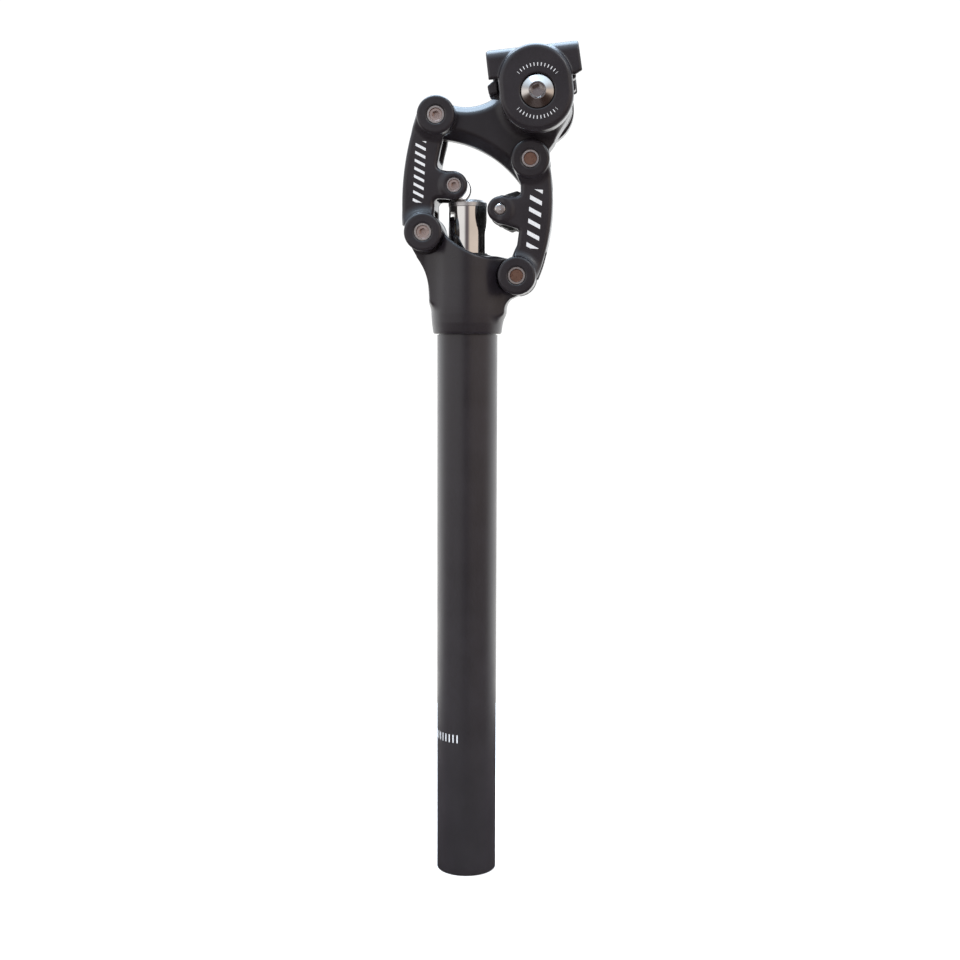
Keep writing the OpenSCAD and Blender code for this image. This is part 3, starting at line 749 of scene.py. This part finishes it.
def inner_jaw(side):
    def field(x, y, z):
        u, h = clamp_axes(x, z)
        y = y * side
        face = common(PAD_IN - y, y - (JAW_SPLIT - 0.15), 0.5)
        solid = common(np.hypot(u, h) - 15, face, 0.5)
        wall = common(np.maximum(-18.5 - u, u - 17), np.maximum(h - 15.5, 5 - h), 1.2)
        solid = union(solid, common(wall, face, 0.5), 0.6)
        solid = union(solid, common(jaw_cheek(u, h), face, 0.4), 0.5)
        ear_face = common(PAD_IN - y, y - (RAIL_Y + 2.4), 0.5)
        solid = union(solid, common(jaw_ear(u, h), ear_face, 0.3), 0.3)
        solid = cut(solid, rail_seat(u, y, h), 0.3)
        return cut(solid, np.hypot(u, h) - BOLT_HOLE_R, 0.3)

    return field


forge("outer_jaw_near", outer_jaw(-1), "near_jaw", BLACK_DISC)
forge("outer_jaw_far", outer_jaw(1), "far_jaw", BLACK_JAW)
forge("inner_jaw_near", inner_jaw(-1), "cradle", BLACK_JAW)
forge("inner_jaw_far", inner_jaw(1), "cradle", BLACK_JAW)


# --- coil spring ----------------------------------------------------------------------------------

SEAT_Z, FOOT_Z = 40.0, 190.0
WIRE_R, COIL_R = 1.8, 8.9
TURNS = 15
END_GAP = 0.02
# the turn where the two lengths meet
SPLIT = 4.05


def coil_height(t):
    """Height of the wire's middle after t turns; both end turns lie flat."""
    dead = 0.75
    closed = 0.9 * 2 * WIRE_R * dead
    lift = FOOT_Z - SEAT_Z - 2 * WIRE_R - 2 * closed - 2 * END_GAP
    first = min(t, dead) / dead * closed
    middle = min(max((t - dead) / (TURNS - 2 * dead), 0), 1) * lift
    last = max(0, t - TURNS + dead) / dead * closed
    return SEAT_Z + WIRE_R + END_GAP + first + middle + last


def spring_turns(name, start, stop):
    """One length of the spring, from turn start to turn stop."""
    steps, sides = int((stop - start) * 40), 12
    points, faces = [], []
    for i in range(steps + 1):
        t = start + (stop - start) * i / steps
        for k in range(sides):
            b = 2 * math.pi * k / sides
            r = COIL_R + WIRE_R * math.cos(b)
            a = 2 * math.pi * t
            points.append((r * math.cos(a), r * math.sin(a), coil_height(t) + WIRE_R * math.sin(b)))
    for i in range(steps):
        for k in range(sides):
            a, b = i * sides + k, i * sides + (k + 1) % sides
            faces.append([a, a + sides, b + sides, b])
    faces += [list(range(sides)), [steps * sides + k for k in reversed(range(sides))]]
    piece = add(name, points, faces, "post", ["coil_spring"], SPRING_STEEL, 60)
    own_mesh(piece)


spring_turns("coil_spring_lower", 0, SPLIT)
spring_turns("coil_spring_upper", SPLIT, TURNS)


# --- carried-over CAD nodes -----------------------------------------------------------------------

FINISH = [
    (BLACK_TUBE, ["post_tube"]),
    (BRONZE, ["guide_bush", "lower_pivot_bushes", "upper_pivot_bushes", "roller_bush"]),
    (RUBBER, ["wiper_seal", "top_out_ring"]),
    (CHROME, ["piston_tube"]),
    (CAP_STEEL, ["piston_cap", "piston_foot"]),
    (AXLE_STEEL, ["front_lower_axle", "front_upper_axle", "rear_lower_axle", "rear_upper_axle"]),
    (AXLE_STEEL, ["roller_axle", "roller", "bumper_pin"]),
    (SCREW_PALE, ["front_axle_screws"]),
    (SCREW_PAINTED_SHADE, ["rear_axle_screws"]),
    (BOLT_STEEL, ["clamp_bolt", "clamp_nut"]),
    (PLASTIC, ["spring_seat", "preload_plug"]),
    (ELASTOMER, ["elastomer_core"]),
]
for material, nodes in FINISH:
    for node in nodes:
        for material_slot in frame["nodes"][node].material_slots:
            material_slot.material = material


# --- floor, light and camera ----------------------------------------------------------------------

def stage_floor():
    """Small round pale sheet under the post that glows a little, so it melts into the white behind it."""
    rings, turns, reach = 12, 96, 0.3
    points = [(0, 0, 0)]
    for i in range(1, rings + 1):
        out = reach * i / rings
        for k in range(turns):
            t = 2 * math.pi * k / turns
            points.append((out * math.cos(t), out * math.sin(t), 0))
    faces = [(0, 1 + k, 1 + (k + 1) % turns) for k in range(turns)]
    for i in range(rings - 1):
        a, b = 1 + i * turns, 1 + (i + 1) * turns
        faces += [(a + k, b + k, b + (k + 1) % turns, a + (k + 1) % turns) for k in range(turns)]
    mesh = bpy.data.meshes.new("floor")
    mesh.from_pydata(points, [], faces)
    floor = bpy.data.objects.new("floor", mesh)
    bpy.context.scene.collection.objects.link(floor)
    s = Shader("floor_white")
    pale = s.mix(s.noise(8, 2), (0.78, 0.78, 0.785, 1), (0.8, 0.8, 0.8, 1))
    mirrored = s.node("ShaderNodeLightPath").outputs["Is Glossy Ray"]
    # to glossy rays the floor is dark brown and gives no glow: a painted dark reflection of a dim room
    s.set(color=s.mix(mirrored, pale, (0.05, 0.035, 0.03, 1)), roughness=0.8, specular=0.0)
    s.bsdf.inputs["Emission Color"].default_value = (1, 1, 1, 1)
    s.link(s.math("MULTIPLY", s.math("SUBTRACT", 1.0, mirrored), 0.5), s.bsdf.inputs["Emission Strength"])
    mesh.materials.append(s.material)


def area_light(name, place, target, size, power, colour):
    """Soft rectangular lamp, turned to its target."""
    light = bpy.data.lights.new(name, "AREA")
    light.shape = "RECTANGLE"
    light.size, light.size_y = size
    light.energy = power
    light.color = colour
    holder = bpy.data.objects.new(name, light)
    holder.location = place
    holder.rotation_euler = (Vector(target) - Vector(place)).to_track_quat("-Z", "Y").to_euler()
    bpy.context.scene.collection.objects.link(holder)


def ramp(tree, value, stops):
    """Colour ramp over value, its stops given as (place, colour)."""
    n = tree.nodes.new("ShaderNodeValToRGB")
    n.color_ramp.interpolation = "B_SPLINE" if len(stops) > 3 else "EASE"
    while len(n.color_ramp.elements) < len(stops):
        n.color_ramp.elements.new(0.5)
    for e, (place, colour) in zip(n.color_ramp.elements, stops):
        e.position = place
        e.color = colour + (1,)
    tree.links.new(value, n.inputs[0])
    return n.outputs[0]


def blend(tree, factor, a, b):
    """Mixes two colours, each a socket or (red, green, blue)."""
    n = tree.nodes.new("ShaderNodeMix")
    n.data_type = "RGBA"
    tree.links.new(factor, n.inputs[0])
    for value, socket in ((a, n.inputs[6]), (b, n.inputs[7])):
        if isinstance(value, tuple):
            socket.default_value = value + (1,)
        else:
            tree.links.new(value, socket)
    return n.outputs[2]


def white_room():
    """A white room, bright behind the post and overhead, dim and warm on the photographer's side."""
    world = bpy.data.worlds.new("white_room")
    world.use_nodes = True
    tree = world.node_tree
    background = tree.nodes["Background"]
    coords = tree.nodes.new("ShaderNodeTexCoord").outputs["Generated"]
    xyz = tree.nodes.new("ShaderNodeSeparateXYZ")
    tree.links.new(coords, xyz.inputs[0])

    def scaled(value, gain, offset):
        n = tree.nodes.new("ShaderNodeMath")
        n.operation = "MULTIPLY_ADD"
        n.use_clamp = True
        tree.links.new(value, n.inputs[0])
        n.inputs[1].default_value, n.inputs[2].default_value = gain, offset
        return n.outputs[0]

    height = scaled(xyz.outputs[2], 0.5, 0.5)
    centre = ramp(tree, height, [
        (0.25, (0.02, 0.012, 0.01)), (0.42, (0.03, 0.021, 0.019)), (0.49, (0.07, 0.055, 0.05)),
        (0.55, (0.1, 0.082, 0.088)), (0.72, (0.16, 0.17, 0.2)), (0.92, (0.7, 0.86, 1.0))])
    right = ramp(tree, height, [
        (0.25, (0.02, 0.012, 0.01)), (0.42, (0.05, 0.036, 0.03)), (0.48, (0.42, 0.35, 0.3)),
        (0.58, (0.5, 0.43, 0.37)), (0.7, (0.2, 0.19, 0.19)), (0.92, (0.7, 0.86, 1.0))])
    left = ramp(tree, height, [
        (0.25, (0.02, 0.013, 0.011)), (0.4, (0.05, 0.036, 0.033)), (0.47, (0.55, 0.53, 0.52)),
        (0.6, (0.6, 0.59, 0.58)), (0.7, (0.2, 0.2, 0.21)), (0.92, (0.7, 0.86, 1.0))])
    back = ramp(tree, height, [
        (0.1, (0.3, 0.28, 0.26)), (0.35, (0.9, 0.9, 0.88)), (0.5, (1.0, 1.0, 1.0)),
        (0.75, (0.85, 0.93, 1.0)), (0.95, (0.7, 0.86, 1.0))])
    sideways = scaled(xyz.outputs[0], 0.5, 0.5)
    lefthand = ramp(tree, sideways, [(0.32, (1, 1, 1)), (0.47, (0, 0, 0))])
    righthand = ramp(tree, sideways, [(0.53, (0, 0, 0)), (0.68, (1, 1, 1))])
    behind = ramp(tree, scaled(xyz.outputs[1], 0.5, 0.5), [(0.4, (0, 0, 0)), (0.78, (1, 1, 1))])
    front = blend(tree, righthand, blend(tree, lefthand, centre, left), right)
    glossy = blend(tree, behind, front, back)
    paths = tree.nodes.new("ShaderNodeLightPath")
    lit = blend(tree, paths.outputs["Is Diffuse Ray"], glossy, (0.5, 0.5, 0.5))
    seen = blend(tree, paths.outputs["Is Camera Ray"], lit, (0.6, 0.6, 0.6))
    tree.links.new(seen, background.inputs["Color"])
    background.inputs["Strength"].default_value = 1.8
    bpy.context.scene.world = world


def photo_camera():
    """Camera level with the post's middle, close in, a little above and turned to the front."""
    lens, distance, height = 54.325125, 0.65748, 0.24935
    pitch, yaw, roll, orbit = 0.102357, 0.0089647, 0.0032263, math.radians(4.2)
    level = Vector((math.sin(yaw), math.cos(yaw), 0))
    side = Vector((math.cos(yaw), -math.sin(yaw), 0))
    up = Vector((0, 0, 1))
    ahead = level * math.cos(pitch) - up * math.sin(pitch)
    over = up * math.cos(pitch) + level * math.sin(pitch)
    right = side * math.cos(roll) + over * math.sin(roll)
    over = over * math.cos(roll) - side * math.sin(roll)
    turn = Matrix.Rotation(orbit, 4, "Z")
    basis = Matrix((right, over, -ahead)).transposed().to_4x4()
    data = bpy.data.cameras.new("camera")
    data.sensor_width = 36
    data.lens = lens
    data.clip_start, data.clip_end = 0.01, 50
    camera = bpy.data.objects.new("camera", data)
    camera.matrix_world = turn @ Matrix.Translation((0, -distance, height)) @ basis
    bpy.context.scene.collection.objects.link(camera)
    bpy.context.scene.camera = camera


stage_floor()
white_room()
area_light("window_above", (-0.1, 0.3, 1.5), (0, 0, 0.3), (1.4, 1.0), 40, (0.62, 0.8, 1.0))
area_light("key_right", (0.8, -0.9, 1.15), (0.02, 0, 0.33), (0.3, 0.3), 2.2, (1.0, 0.99, 0.97))
photo_camera()

bpy.context.scene.view_settings.view_transform = "Standard"
